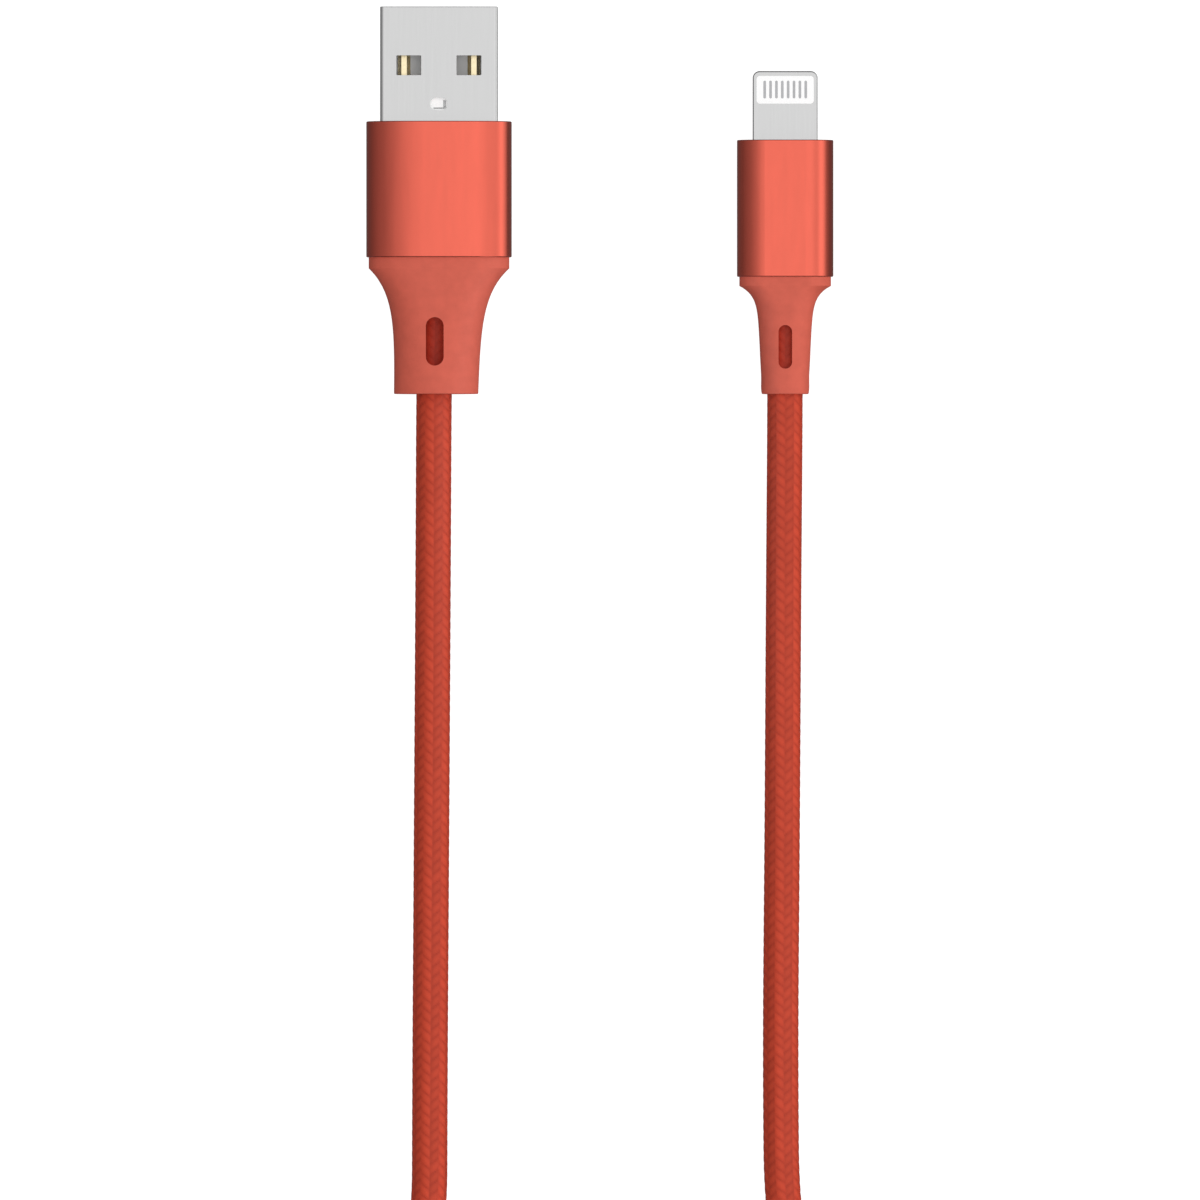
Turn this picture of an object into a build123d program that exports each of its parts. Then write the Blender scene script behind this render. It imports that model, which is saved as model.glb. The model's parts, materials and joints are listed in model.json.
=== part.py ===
from build123d import *
from math import copysign, cos, exp, pi, radians, sin, tan
import os

# Charging cable: a USB type A plug and a small eight-contact tab plug on one braided cable.
# Millimetres. Both plugs lie flat on z = 0 and point to +Y, side by side along X, and the origin is
# under the middle of the two. The cable leaves both plugs towards -Y, and its spare length is coiled.

os.makedirs("parts", exist_ok=True)

# ---- driving dimensions -------------------------------------------------------------------------

CABLE_D = 3.7
CABLE_R = CABLE_D / 2
FLOOR_Z = CABLE_R                 # height of the cable's centre where it lies on the surface
FIT = 0.05                        # clearance round a piece that is pushed into another

# USB plug
USB_X = -16.6
USB_Z = 3.75
USB_TIP_Y = 19.9
USB_COLLAR_FRONT_Y = 8.1
USB_COLLAR_BACK_Y = -5.9
USB_BOOT_END_Y = -20.0
SHELL_W = 12.1
SHELL_T = 4.5
SHELL_SHEET = 0.3
SHELL_CORNER_R = 0.35
SHELL_LIP = 0.05                  # chamfer round the mouth
SHELL_SEAM_W = 0.12
SHELL_BACK_Y = 2.2
WINDOW_W = 2.57
WINDOW_L = 2.05
WINDOW_X = 3.1
WINDOW_Y = 13.85
WINDOW_CORNER_R = 0.1
LOCK_HOLE_W = 1.8
LOCK_HOLE_L = 1.3
LOCK_HOLE_Y = 9.88
LATCH_END_X = 0.45                # of the white latch finger below that hole, from the hole's middle
LATCH_L = 1.0
LATCH_W = 0.75
LATCH_END_GAP = 0.3
LATCH_SIDE_GAP = 0.12
LATCH_GAP_DEPTH = 0.45
TONGUE_T = 1.9
TONGUE_TIP_GAP = 0.4
TONGUE_LEAD = 0.3                 # chamfer on the tongue's upper front edge
BLOCK_FRONT_Y = 11.0
BLOCK_BACK_Y = 3.0
USB_CONTACTS = {"power": 3.6, "data_minus": 1.0, "data_plus": -1.0, "ground": -3.6}
USB_CONTACT_W = 1.3
USB_CONTACT_T = 0.35
USB_CONTACT_CREST_W = 0.55        # the flat along its middle, from which both sides slope away
USB_CONTACT_SLOPE_H = 0.2
USB_CONTACT_PROUD = 0.3
USB_CONTACT_TIP_GAP = {"power": 1.0, "data_minus": 2.0, "data_plus": 2.0, "ground": 1.0}
USB_TAIL_BACK_Y = 1.6
USB_COLLAR_W = 15.0
USB_COLLAR_T = 7.5
USB_COLLAR_WALL = 0.75
USB_BAND_W = 14.5
USB_BAND_T = 7.0
USB_BAND_L = 1.15
USB_TAPER_END_W = 8.65
USB_TAPER_END_T = 6.6
USB_TAPER_DECAY = 2.75            # depth in which the flare shrinks to a third
USB_TAPER_SECTIONS = 14
USB_LEAN = 0.3                    # the tail of this strain relief is bent a little to -X
USB_SLOT_W = 1.84
USB_SLOT_L = 5.0
USB_SLOT_Y = -14.6
USB_SLOT_SHIFT = 0.42             # and so is the cable that shows in its slot
USB_COVER_BACK_Y = -3.0
USB_COVER_SHEET = 0.25
COVER_W = 11.0
COVER_T = 4.3
USB_RING_Y = -3.1
USB_JACKET_END_Y = -1.8

# Tab plug
TAB_X = 19.1
TAB_Z = 2.85
TAB_TIP_Y = 13.3
TAB_COLLAR_FRONT_Y = 6.2
TAB_COLLAR_BACK_Y = -7.9
TAB_BOOT_END_Y = -20.0
TAB_W = 6.7
TAB_T = 1.5
TAB_CORNER_R = 0.7
TAB_RIM = 0.11                    # chamfer round both faces
TAB_FRAME_BACK_Y = 2.5
INSERT_W = 5.9
INSERT_L = 2.85
INSERT_CORNER_R = 0.35
INSERT_FRONT_Y = 12.8
TAB_CONTACT_COUNT = 8
TAB_CONTACT_PITCH = 0.605
TAB_CONTACT_W = 0.28
TAB_CONTACT_L = 1.85
TAB_CONTACT_Y = 11.4
BOARD_T = 0.6
BOARD_FRONT_Y = 12.45
BOARD_NECK_W = 4.8
BOARD_W = 6.4
BOARD_STEP_Y = 2.3
BOARD_BACK_Y = -2.6
TAB_COLLAR_W = 9.95
TAB_COLLAR_T = 5.7
TAB_COLLAR_WALL = 0.7
TAB_BAND_W = 9.45
TAB_BAND_T = 5.3
TAB_BAND_L = 0.95
TAB_TAPER_END_W = 4.82
TAB_TAPER_END_T = 4.9
TAB_TAPER_SLOPE = 0.09            # how its tail widens towards the band
TAB_TAPER_DECAY = 0.95
TAB_SECTION_CORNER = 0.46         # corner radius over thickness
TAB_TAPER_DEPTHS = [0, 0.25, 0.55, 0.95, 1.5, 2.3, 3.4, 4.8, 6.4, 8.0, 9.6]
TAB_SLOT_W = 1.4
TAB_SLOT_L = 4.5
TAB_SLOT_Y = -15.15
TAB_JACKET_END_Y = -4.4
TAB_RING_Y = -5.0
CAN_Y = 0.8
CAN_W = 5.8
CAN_L = 2.8
CAN_H = 1.2
CAN_SHEET = 0.15
CHIP_X = -0.7
CHIP_W = 2.4
CHIP_L = 2.0
CHIP_H = 0.6
CAPACITOR_X = 2.0
CAPACITOR_YS = (1.6, 0.8, 0.0)
CAPACITOR_W = 0.6
CAPACITOR_L = 0.3
CAPACITOR_H = 0.3
TAB_WIRE_X = 1.6                  # of the wires' solder points, either side of the board's middle
TAB_WIRE_END_Y = -1.4

COLLAR_CHAMFER = 0.07
RELIEF_END_R = 0.12               # on the outer edge of each strain relief's tail
SECTION_POINTS = 32               # round each soft oblong section
WIDE_FACE_POWER = 3.6             # how flat its wide faces are
USB_TAIL_POWER = 2.0              # and at the tail of the USB strain relief, which is rounder
ARC_SHARE = 0.45                  # of a run's length that the arc at each end may take
TENON_L = 1.2                     # how far a strain relief reaches into its collar
USB_RING_WALL = 0.55
TAB_RING_WALL = 0.25
RING_L = 1.5
WIRE_D = 0.8
WIRE_OFFSET = 0.5                 # of each wire from the cable's centre, across and up
WIRE_START_L = 0.5                # straight part at the jacket
USB_WIRE_LEAD = 0.5               # and at the solder point
TAB_WIRE_LEAD = 1.55
WIRE_BEND_R = 0.6

# Coil: five and a half turns, four side by side below and the rest nested on them
COIL_X = 1.05
COIL_Y = -147.0
COIL_MID_R = 20.6
COIL_TURNS = 5.5
COIL_LOW_WIDTH = 4 * CABLE_D
COIL_HIGH_WIDTH = 3 * CABLE_D
LAYER_RISE = 3.3
COIL_OUTER_TURN_R = COIL_MID_R + 1.5 * CABLE_D
COIL_LAST_TURN_R = COIL_MID_R + CABLE_D
TIE_W = 10.0
TIE_T = 0.8
BUNDLE_CORNER_R = 0.9
TIE_DIRECTION = 270               # degrees round the coil: the side away from the plugs

# Route of the cable from each plug's jacket end to the coil. Points chosen by hand.
USB_ROUTE = [
    (USB_X, USB_JACKET_END_Y, USB_Z),
    (USB_X, -6.6, USB_Z),
    (-17.1, -14.4, USB_Z),
    (-17.2, -38.0, USB_Z),
    (-17.4, -68.0, FLOOR_Z),
    (-17.55, -90.0, FLOOR_Z),
    (-17.6, -110.0, FLOOR_Z),
    (COIL_X - COIL_OUTER_TURN_R, -133.5, FLOOR_Z),
    (COIL_X - COIL_OUTER_TURN_R, COIL_Y, FLOOR_Z),
]
TAB_ROUTE = [
    (TAB_X, TAB_JACKET_END_Y, TAB_Z),
    (TAB_X, -21.0, TAB_Z),
    (18.95, -38.0, TAB_Z),
    (18.8, -66.0, FLOOR_Z),
    (18.6, -88.0, FLOOR_Z),
    (18.8, -108.0, FLOOR_Z),
    (24.2, -127.5, 5.6),
    (COIL_X + COIL_LAST_TURN_R, -139.5, 5.65),
    (COIL_X + COIL_LAST_TURN_R, COIL_Y, FLOOR_Z + LAYER_RISE),
]


# ---- helpers ------------------------------------------------------------------------------------

def save(name, shape):
    shape.label = name
    export_step(shape, f"parts/{name}.step")


def across(x, y, z):
    """A plane across a plug's length: its x is +X, its y is +Z, and it extrudes towards -Y."""
    return Plane(origin=(x, y, z), x_dir=(1, 0, 0), z_dir=(0, -1, 0))


def flat(x, y, z):
    """A level plane at height z, which extrudes up."""
    return Plane(origin=(x, y, z), x_dir=(1, 0, 0), z_dir=(0, 0, 1))


def block(x, y_front, y_back, z, width, thickness):
    """A box by its front and back, centred on x and z."""
    return extrude(across(x, y_front, z) * Rectangle(width, thickness), y_front - y_back)


def slot_bar(x, y_front, y_back, z, width, thickness):
    """A bar with fully rounded sides."""
    return extrude(across(x, y_front, z) * SlotOverall(width, thickness), y_front - y_back)


def rounded_bar(x, y_front, y_back, z, width, thickness, corner_r):
    """A bar whose section is a rectangle with rounded corners."""
    section = across(x, y_front, z) * RectangleRounded(width, thickness, corner_r)
    return extrude(section, y_front - y_back)


def rod(x, y_front, y_back, z, radius):
    """A round bar along the plug."""
    return extrude(across(x, y_front, z) * Circle(radius), y_front - y_back)


def through_slot(x, y, z, width, length, height):
    """A round-ended cutter that stands upright, centred on z."""
    outline = flat(x, y, z - height / 2) * SlotOverall(length, width, rotation=90)
    return extrude(outline, height)


def end_edges(shape, index):
    """The outer edges of a shape's front (-1) or back (0) face."""
    return shape.faces().sort_by(Axis.Y)[index].outer_wire().edges()


def corner_radii(points):
    """The largest arc that each corner's two runs allow."""
    radii = []
    for before, corner, after in zip(points, points[1:], points[2:]):
        run_in = Vector(corner) - Vector(before)
        run_out = Vector(after) - Vector(corner)
        half_turn = radians(run_in.get_angle(run_out)) / 2
        radii.append(ARC_SHARE * min(run_in.length, run_out.length) / tan(half_turn))
    return radii


def tube(points, radius, corners):
    """A round tube of straight runs joined by tangent arcs, one radius for each corner."""
    path = FilletPolyline(*points, radius=corners)
    start = Plane(origin=points[0], z_dir=Vector(points[1]) - Vector(points[0]))
    return sweep(start * Circle(radius), path=path), path.length


# ---- collars ------------------------------------------------------------------------------------

def soft_section(width, thickness, power):
    """An oblong whose wide faces curve more and more towards its round sides."""
    points = []
    for step in range(SECTION_POINTS):
        angle = 2 * pi * step / SECTION_POINTS
        reach = abs(cos(angle)) ** (2 / power)
        points.append((copysign(reach, cos(angle)) * width / 2, sin(angle) * thickness / 2))
    return make_face(Spline(*points, periodic=True))


def soft_bar(x, y_front, y_back, z, width, thickness):
    """A bar of that section."""
    section = across(x, y_front, z) * soft_section(width, thickness, WIDE_FACE_POWER)
    return extrude(section, y_front - y_back)


def usb_collar():
    body = soft_bar(USB_X, USB_COLLAR_FRONT_Y, USB_COLLAR_BACK_Y, USB_Z, USB_COLLAR_W, USB_COLLAR_T)
    body = chamfer(end_edges(body, -1) + end_edges(body, 0), COLLAR_CHAMFER)
    body -= slot_bar(USB_X, USB_COLLAR_FRONT_Y - USB_COLLAR_WALL, USB_COLLAR_BACK_Y, USB_Z,
                     USB_COLLAR_W - 2 * USB_COLLAR_WALL, USB_COLLAR_T - 2 * USB_COLLAR_WALL)
    body -= rounded_bar(USB_X, USB_COLLAR_FRONT_Y, USB_COLLAR_BACK_Y, USB_Z,
                        SHELL_W + 2 * FIT, SHELL_T + 2 * FIT, SHELL_CORNER_R + FIT)
    return body


def tab_collar():
    body = slot_bar(TAB_X, TAB_COLLAR_FRONT_Y, TAB_COLLAR_BACK_Y, TAB_Z, TAB_COLLAR_W, TAB_COLLAR_T)
    body = chamfer(end_edges(body, -1) + end_edges(body, 0), COLLAR_CHAMFER)
    body -= slot_bar(TAB_X, TAB_COLLAR_FRONT_Y - TAB_COLLAR_WALL, TAB_COLLAR_BACK_Y, TAB_Z,
                     TAB_COLLAR_W - 2 * TAB_COLLAR_WALL, TAB_COLLAR_T - 2 * TAB_COLLAR_WALL)
    body -= block(TAB_X, TAB_COLLAR_FRONT_Y, TAB_COLLAR_BACK_Y, TAB_Z,
                  TAB_W + 2 * FIT, TAB_T + 2 * FIT)
    return body


# ---- strain reliefs -----------------------------------------------------------------------------

def usb_taper_width(depth):
    """Full width of the USB strain relief, depth millimetres behind its band."""
    return USB_TAPER_END_W + (USB_BAND_W - USB_TAPER_END_W) * exp(-depth / USB_TAPER_DECAY)


def usb_taper():
    """The taper behind the USB strain relief's band, leaning a little more with each section."""
    start_y = USB_COLLAR_BACK_Y - USB_BAND_L
    length = start_y - USB_BOOT_END_Y
    sections = []
    for index in range(USB_TAPER_SECTIONS):
        depth = length * index / (USB_TAPER_SECTIONS - 1)
        width = usb_taper_width(depth)
        share = (width - USB_TAPER_END_W) / (USB_BAND_W - USB_TAPER_END_W)
        thickness = USB_TAPER_END_T + (USB_BAND_T - USB_TAPER_END_T) * share
        x = USB_X - USB_LEAN * depth / length
        power = WIDE_FACE_POWER + (USB_TAIL_POWER - WIDE_FACE_POWER) * depth / length
        sections.append(across(x, start_y - depth, USB_Z) * soft_section(width, thickness, power))
    return loft(sections)


def tab_taper_width(depth):
    """Full width of the tab plug's strain relief, depth millimetres behind its band."""
    length = TAB_COLLAR_BACK_Y - TAB_BAND_L - TAB_BOOT_END_Y
    tail = TAB_TAPER_END_W + TAB_TAPER_SLOPE * (length - depth)
    flare = TAB_BAND_W - TAB_TAPER_END_W - TAB_TAPER_SLOPE * length
    return tail + flare * exp(-depth / TAB_TAPER_DECAY)


def tab_taper():
    """The taper behind the tab plug's band, from a flat oblong to nearly round."""
    start_y = TAB_COLLAR_BACK_Y - TAB_BAND_L
    length = start_y - TAB_BOOT_END_Y
    sections = []
    for depth in [*TAB_TAPER_DEPTHS, length]:
        width = tab_taper_width(depth)
        share = (width - TAB_TAPER_END_W) / (TAB_BAND_W - TAB_TAPER_END_W)
        thickness = TAB_TAPER_END_T + (TAB_BAND_T - TAB_TAPER_END_T) * share
        outline = RectangleRounded(width, thickness, TAB_SECTION_CORNER * thickness)
        sections.append(across(TAB_X, start_y - depth, TAB_Z) * outline)
    return loft(sections)


def usb_strain_relief(cable):
    """Moulded boot: tenon in the collar, band, taper round the cable, and relief slot."""
    band_back_y = USB_COLLAR_BACK_Y - USB_BAND_L
    boot = fillet(end_edges(usb_taper(), 0), RELIEF_END_R)
    boot += soft_bar(USB_X, USB_COLLAR_BACK_Y, band_back_y, USB_Z, USB_BAND_W, USB_BAND_T)
    boot += slot_bar(USB_X, USB_COLLAR_BACK_Y + TENON_L, USB_COLLAR_BACK_Y, USB_Z,
                     USB_COLLAR_W - 2 * USB_COLLAR_WALL - 2 * FIT,
                     USB_COLLAR_T - 2 * USB_COLLAR_WALL - 2 * FIT)
    boot -= through_slot(USB_X - USB_SLOT_SHIFT, USB_SLOT_Y, USB_Z, USB_SLOT_W, USB_SLOT_L, 2 * USB_BAND_T)
    return boot - cable


def tab_strain_relief(cable):
    """The tab plug's boot, made in the same way."""
    band_back_y = TAB_COLLAR_BACK_Y - TAB_BAND_L
    boot = fillet(end_edges(tab_taper(), 0), RELIEF_END_R)
    boot += rounded_bar(TAB_X, TAB_COLLAR_BACK_Y, band_back_y, TAB_Z, TAB_BAND_W, TAB_BAND_T,
                        TAB_SECTION_CORNER * TAB_BAND_T)
    boot += slot_bar(TAB_X, TAB_COLLAR_BACK_Y + TENON_L, TAB_COLLAR_BACK_Y, TAB_Z,
                     TAB_COLLAR_W - 2 * TAB_COLLAR_WALL - 2 * FIT,
                     TAB_COLLAR_T - 2 * TAB_COLLAR_WALL - 2 * FIT)
    boot -= through_slot(TAB_X, TAB_SLOT_Y, TAB_Z, TAB_SLOT_W, TAB_SLOT_L, 2 * TAB_BAND_T)
    return boot - cable


def crimp_ring(x, y_front, z, wall):
    """A brass ring pressed round the cable's jacket."""
    bore = rod(x, y_front, y_front - RING_L, z, CABLE_R)
    return rod(x, y_front, y_front - RING_L, z, CABLE_R + wall) - bore


# ---- USB plug -----------------------------------------------------------------------------------

def usb_shell():
    shell = rounded_bar(USB_X, USB_TIP_Y, SHELL_BACK_Y, USB_Z, SHELL_W, SHELL_T, SHELL_CORNER_R)
    shell = chamfer(end_edges(shell, -1), SHELL_LIP)
    shell -= rounded_bar(USB_X, USB_TIP_Y, SHELL_BACK_Y, USB_Z, SHELL_W - 2 * SHELL_SHEET,
                         SHELL_T - 2 * SHELL_SHEET, SHELL_CORNER_R - SHELL_SHEET)
    for side in (-1, 1):
        outline = RectangleRounded(WINDOW_W, WINDOW_L, WINDOW_CORNER_R)
        shell -= extrude(flat(USB_X + side * WINDOW_X, WINDOW_Y, 0) * outline, 2 * USB_Z)
    hole = flat(USB_X, LOCK_HOLE_Y, USB_Z) * SlotOverall(LOCK_HOLE_W, LOCK_HOLE_L)
    shell -= extrude(hole, USB_Z)
    # the folded sheet's seam: a shallow line down the middle of the lower face
    bottom_z = USB_Z - SHELL_T / 2
    seam_l = USB_TIP_Y - USB_COLLAR_FRONT_Y
    shell -= block(USB_X, USB_TIP_Y, USB_TIP_Y - seam_l, bottom_z, SHELL_SEAM_W, SHELL_SHEET)
    return shell


def tongue_top_z():
    return USB_Z - SHELL_T / 2 + SHELL_SHEET + TONGUE_T


def usb_contact(name):
    """A crowned gold contact on the tongue, with its solder tail behind the white block."""
    front_y = USB_TIP_Y - TONGUE_TIP_GAP - USB_CONTACT_TIP_GAP[name]
    half = USB_CONTACT_W / 2
    crest = USB_CONTACT_CREST_W / 2
    outline = Polyline(
        (-half, -USB_CONTACT_T), (half, -USB_CONTACT_T), (half, -USB_CONTACT_SLOPE_H),
        (crest, 0), (-crest, 0), (-half, -USB_CONTACT_SLOPE_H), close=True)
    top = across(USB_X - USB_CONTACTS[name], front_y, tongue_top_z() + USB_CONTACT_PROUD)
    return extrude(top * make_face(outline.edges()), front_y - USB_TAIL_BACK_Y)


def latch_gap():
    """The gap round the end and one side of the latch finger, cut into the white block's top."""
    end_x = USB_X + LATCH_END_X
    top_z = USB_Z + SHELL_T / 2 - SHELL_SHEET
    side_y = LOCK_HOLE_Y - LATCH_W / 2
    gap = block(end_x + LATCH_END_GAP / 2, side_y + LATCH_W, side_y - LATCH_SIDE_GAP, top_z,
                LATCH_END_GAP, 2 * LATCH_GAP_DEPTH)
    return gap + block(end_x - LATCH_L / 2, side_y, side_y - LATCH_SIDE_GAP, top_z,
                       LATCH_L, 2 * LATCH_GAP_DEPTH)


def usb_insulator(contacts):
    """White tongue under the contacts, and the block that fills the shell behind it."""
    inner_w = SHELL_W - 2 * SHELL_SHEET
    inner_t = SHELL_T - 2 * SHELL_SHEET
    floor_z = USB_Z - inner_t / 2
    tongue = block(USB_X, USB_TIP_Y - TONGUE_TIP_GAP, BLOCK_FRONT_Y, floor_z + TONGUE_T / 2,
                   inner_w - 2 * FIT, TONGUE_T)
    tongue = chamfer(end_edges(tongue, -1).sort_by(Axis.Z)[-1], TONGUE_LEAD)
    back = rounded_bar(USB_X, BLOCK_FRONT_Y, BLOCK_BACK_Y, USB_Z, inner_w, inner_t,
                       SHELL_CORNER_R - SHELL_SHEET)
    corners = rounded_bar(USB_X, USB_TIP_Y, BLOCK_FRONT_Y, USB_Z, inner_w, inner_t,
                          SHELL_CORNER_R - SHELL_SHEET)
    body = (tongue & corners) + back - latch_gap()
    for contact in contacts:
        body -= contact
    return body


def usb_shield_cover(half):
    """One half, upper (1) or lower (-1), of the folded shield behind the shell."""
    height = COVER_T / 2
    inside_h = height - USB_COVER_SHEET
    cover = block(USB_X, SHELL_BACK_Y, USB_COVER_BACK_Y, USB_Z + half * height / 2, COVER_W, height)
    cover -= block(USB_X, SHELL_BACK_Y, USB_COVER_BACK_Y + USB_COVER_SHEET,
                   USB_Z + half * inside_h / 2, COVER_W - 2 * USB_COVER_SHEET, inside_h)
    cover -= rod(USB_X, SHELL_BACK_Y, USB_COVER_BACK_Y, USB_Z, CABLE_R)
    return cover


def wire(x, z, jacket_y, side, level, end, end_lead):
    """An insulated wire from the cable's cut end to its solder point."""
    start_x = x + side * WIRE_OFFSET
    start_z = z + level * WIRE_OFFSET
    end_x, end_y, end_z = end
    points = [
        (start_x, jacket_y, start_z),
        (start_x, jacket_y + WIRE_START_L, start_z),
        (end_x, end_y - end_lead, end_z),
        (end_x, end_y, end_z),
    ]
    return tube(points, WIRE_D / 2, [WIRE_BEND_R, WIRE_BEND_R])[0]


def usb_wires():
    """Name to wire. Each runs to its contact's tail, the power and ground wires above the data wires."""
    tail_z = tongue_top_z() + USB_CONTACT_PROUD - USB_CONTACT_T / 2
    wires = {}
    for name, offset in USB_CONTACTS.items():
        side = -1 if offset > 0 else 1
        level = 1 if name in ("power", "ground") else -1
        end = (USB_X - offset, USB_TAIL_BACK_Y, tail_z)
        wires[name] = wire(USB_X, USB_Z, USB_JACKET_END_Y, side, level, end, USB_WIRE_LEAD)
    return wires


def usb_inner_mould():
    """The filling in the collar, moulded round the shell, the covers and the crimped cable."""
    tenon_y = USB_COLLAR_BACK_Y + TENON_L
    mould = slot_bar(USB_X, USB_COLLAR_FRONT_Y - USB_COLLAR_WALL, tenon_y, USB_Z,
                     USB_COLLAR_W - 2 * USB_COLLAR_WALL, USB_COLLAR_T - 2 * USB_COLLAR_WALL)
    mould -= rounded_bar(USB_X, USB_COLLAR_FRONT_Y, SHELL_BACK_Y, USB_Z, SHELL_W, SHELL_T, SHELL_CORNER_R)
    mould -= block(USB_X, SHELL_BACK_Y, USB_COVER_BACK_Y, USB_Z, COVER_W, COVER_T)
    mould -= rod(USB_X, USB_COVER_BACK_Y, tenon_y, USB_Z, CABLE_R)
    mould -= rod(USB_X, USB_RING_Y, USB_RING_Y - RING_L, USB_Z, CABLE_R + USB_RING_WALL)
    return mould


# ---- tab plug -----------------------------------------------------------------------------------

def tab_outline(width, length, y_front, corner_r, z, height):
    """An upright plate with rounded front corners, by its front edge."""
    plate = extrude(flat(TAB_X, y_front - length / 2, z - height / 2) * Rectangle(width, length), height)
    front_corners = plate.edges().filter_by(Axis.Z).group_by(Axis.Y)[-1]
    return fillet(front_corners, corner_r)


def insert_cutter(height):
    outline = RectangleRounded(INSERT_W, INSERT_L, INSERT_CORNER_R)
    return extrude(flat(TAB_X, INSERT_FRONT_Y - INSERT_L / 2, TAB_Z - height / 2) * outline, height)


def tab_frame():
    """Metal tab: rounded front, window for the insert, and a slit for the board."""
    length = TAB_TIP_Y - TAB_FRAME_BACK_Y
    frame = tab_outline(TAB_W, length, TAB_TIP_Y, TAB_CORNER_R, TAB_Z, TAB_T)
    rims = frame.edges().filter_by(Plane.XY).group_by(Axis.Z)
    frame = chamfer(rims[0].sort_by(Axis.Y)[1:] + rims[-1].sort_by(Axis.Y)[1:], TAB_RIM)
    frame -= insert_cutter(2 * TAB_T)
    frame -= block(TAB_X, INSERT_FRONT_Y - INSERT_L, TAB_FRAME_BACK_Y, TAB_Z, BOARD_NECK_W, BOARD_T)
    return frame


def tab_contacts():
    """Name to contact, eight on each face. Each stands on the board and ends level with the insert."""
    contacts = {}
    height = (TAB_T - BOARD_T) / 2
    for face, sign in (("front", 1), ("back", -1)):
        for index in range(TAB_CONTACT_COUNT):
            x = TAB_X + sign * (index - (TAB_CONTACT_COUNT - 1) / 2) * TAB_CONTACT_PITCH
            low_z = TAB_Z + BOARD_T / 2 if sign > 0 else TAB_Z - TAB_T / 2
            outline = SlotOverall(TAB_CONTACT_L, TAB_CONTACT_W, rotation=90)
            pad = extrude(flat(x, TAB_CONTACT_Y, low_z) * outline, height)
            contacts[f"{face}_{index + 1}"] = pad
    return contacts


def tab_insulator(contacts):
    """White insert in the frame's window, open for the contacts and the board."""
    body = insert_cutter(TAB_T)
    body -= block(TAB_X, BOARD_FRONT_Y, INSERT_FRONT_Y - INSERT_L, TAB_Z, BOARD_NECK_W, BOARD_T)
    for contact in contacts:
        body -= contact
    return body


def tab_circuit_board():
    neck = block(TAB_X, BOARD_FRONT_Y, BOARD_STEP_Y, TAB_Z, BOARD_NECK_W, BOARD_T)
    return neck + block(TAB_X, BOARD_STEP_Y, BOARD_BACK_Y, TAB_Z, BOARD_W, BOARD_T)


def on_board(x, y, width, length, height):
    """A box that stands on the board's upper face."""
    return extrude(flat(TAB_X + x, y, TAB_Z + BOARD_T / 2) * Rectangle(width, length), height)


def tab_board_capacitors():
    """Three small capacitors in a row beside the chip."""
    return Compound(children=[on_board(CAPACITOR_X, y, CAPACITOR_W, CAPACITOR_L, CAPACITOR_H)
                              for y in CAPACITOR_YS])


def tab_controller_chip():
    return on_board(CHIP_X, CAN_Y, CHIP_W, CHIP_L, CHIP_H)


def tab_shield_can():
    """Five-sided sheet can over the chip and the capacitors."""
    inside = on_board(0, CAN_Y, CAN_W - 2 * CAN_SHEET, CAN_L - 2 * CAN_SHEET, CAN_H - CAN_SHEET)
    return on_board(0, CAN_Y, CAN_W, CAN_L, CAN_H) - inside


def tab_wires():
    """Name to wire: power and ground above the board, the data wires below it."""
    wires = {}
    rise = BOARD_T / 2 + WIRE_D / 2
    for name, side, level in (("power", -1, 1), ("data_minus", -1, -1),
                              ("data_plus", 1, -1), ("ground", 1, 1)):
        end = (TAB_X + side * TAB_WIRE_X, TAB_WIRE_END_Y, TAB_Z + level * rise)
        wires[name] = wire(TAB_X, TAB_Z, TAB_JACKET_END_Y, side, level, end, TAB_WIRE_LEAD)
    return wires


def tab_inner_mould(wires):
    """The filling in the collar, moulded round the frame, the board, the can and the crimped cable."""
    tenon_y = TAB_COLLAR_BACK_Y + TENON_L
    mould = slot_bar(TAB_X, TAB_COLLAR_FRONT_Y - TAB_COLLAR_WALL, tenon_y, TAB_Z,
                     TAB_COLLAR_W - 2 * TAB_COLLAR_WALL, TAB_COLLAR_T - 2 * TAB_COLLAR_WALL)
    mould -= block(TAB_X, TAB_COLLAR_FRONT_Y, TAB_FRAME_BACK_Y, TAB_Z, TAB_W, TAB_T)
    mould -= block(TAB_X, TAB_FRAME_BACK_Y, BOARD_BACK_Y, TAB_Z, BOARD_W, BOARD_T)
    mould -= on_board(0, CAN_Y, CAN_W, CAN_L, CAN_H)
    mould -= rod(TAB_X, TAB_JACKET_END_Y, tenon_y, TAB_Z, CABLE_R)
    mould -= rod(TAB_X, TAB_RING_Y, TAB_RING_Y - RING_L, TAB_Z, CABLE_R + TAB_RING_WALL)
    for piece in wires:
        mould -= piece
    return mould


# ---- cable --------------------------------------------------------------------------------------

def bundle_section(base_z):
    """Outline of the wound bundle, on the XZ plane, with its lowest side at base_z."""
    low = COIL_LOW_WIDTH / 2
    high = COIL_HIGH_WIDTH / 2
    top_z = base_z + LAYER_RISE + CABLE_D
    outline = Polyline(
        (COIL_MID_R - low, base_z), (COIL_MID_R + low, base_z),
        (COIL_MID_R + low, base_z + CABLE_R), (COIL_MID_R + high, top_z),
        (COIL_MID_R - high, top_z), (COIL_MID_R - low, base_z + CABLE_R), close=True)
    return fillet(make_face(outline.edges()).vertices(), BUNDLE_CORNER_R)


def round_the_coil(section, first_angle, arc):
    """The section swept round the coil's upright axis."""
    swept = revolve(Plane.XZ * section, Axis.Z, revolution_arc=arc)
    return Pos(COIL_X, COIL_Y, 0) * (Rot(0, 0, first_angle) * swept)


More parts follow.
